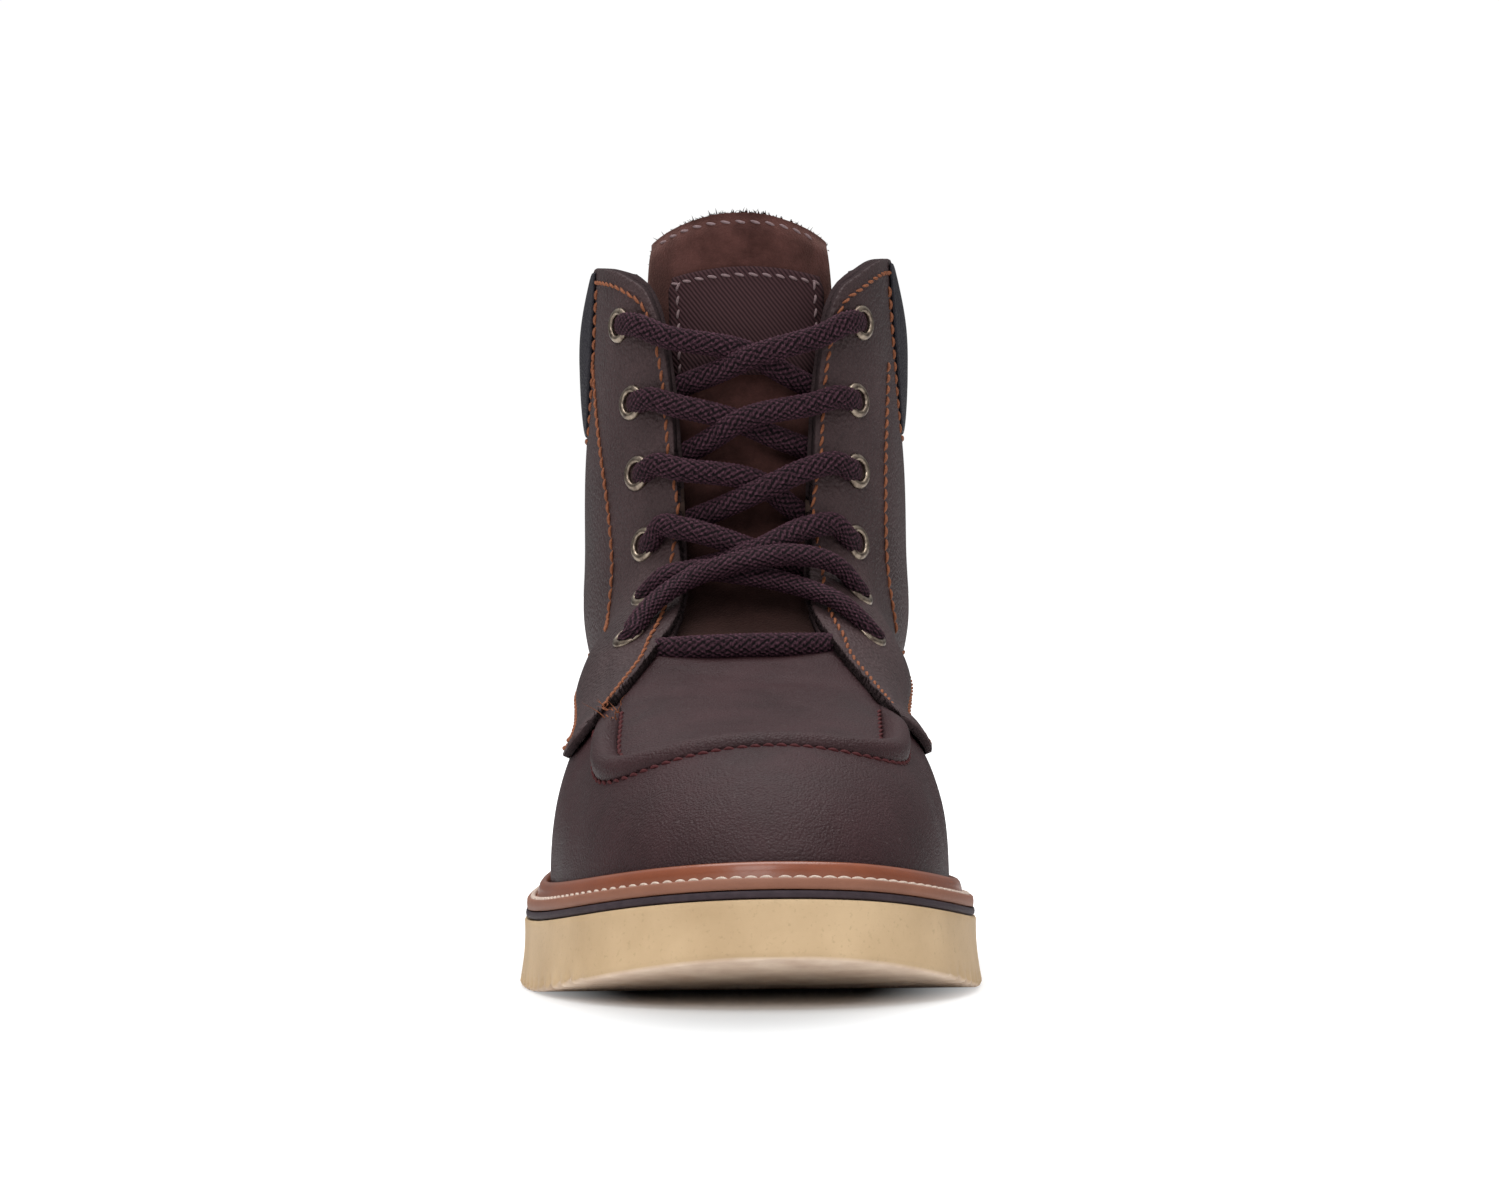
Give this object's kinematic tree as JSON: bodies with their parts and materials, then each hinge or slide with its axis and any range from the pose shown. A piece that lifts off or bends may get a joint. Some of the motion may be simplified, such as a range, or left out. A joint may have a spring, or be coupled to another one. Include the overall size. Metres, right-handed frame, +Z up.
{
  "type": "work boot",
  "caption": "Ankle-high lace-up work boot for the right foot, with a raised toe seam, welted wedge sole, padded collar, suede tongue and metal eyelets.",
  "frame": {"origin": "middle of the sole's outline, on the floor", "axes": "+Z up, -Y towards the toe, +X towards the medial side of the right foot"},
  "size_m": [0.1156, 0.3066, 0.2],
  "materials": {
    "outsole_rubber": "matte cream",
    "midsole_rubber": "matte",
    "welt_leather": "satin tan",
    "insole_board": "matte",
    "upper_leather": "oiled dark brown",
    "collar_leather": "satin navy black",
    "tongue_suede": "suede",
    "eyelet_brass": "antique bronze",
    "lace_cord": "braided"
  },
  "bodies": {
    "root": {"outsole": "outsole_rubber", "midsole": "midsole_rubber", "welt": "welt_leather", "insole": "insole_board", "upper": "upper_leather", "quarter_lateral": "upper_leather", "quarter_medial": "upper_leather", "collar_pad": "collar_leather", "toe_seam_roll": "upper_leather", "tongue": "tongue_suede", "eyelet_lateral_1": "eyelet_brass", "eyelet_lateral_2": "eyelet_brass", "eyelet_lateral_3": "eyelet_brass", "eyelet_lateral_4": "eyelet_brass", "eyelet_lateral_5": "eyelet_brass", "eyelet_lateral_6": "eyelet_brass", "eyelet_medial_1": "eyelet_brass", "eyelet_medial_2": "eyelet_brass", "eyelet_medial_3": "eyelet_brass", "eyelet_medial_4": "eyelet_brass", "eyelet_medial_5": "eyelet_brass", "eyelet_medial_6": "eyelet_brass", "lace_cross_1": "lace_cord", "lace_cross_2": "lace_cord", "lace_cross_3": "lace_cord", "lace_cross_4": "lace_cord", "lace_cross_5": "lace_cord", "lace_bar": "lace_cord"}
  },
  "joints": []
}
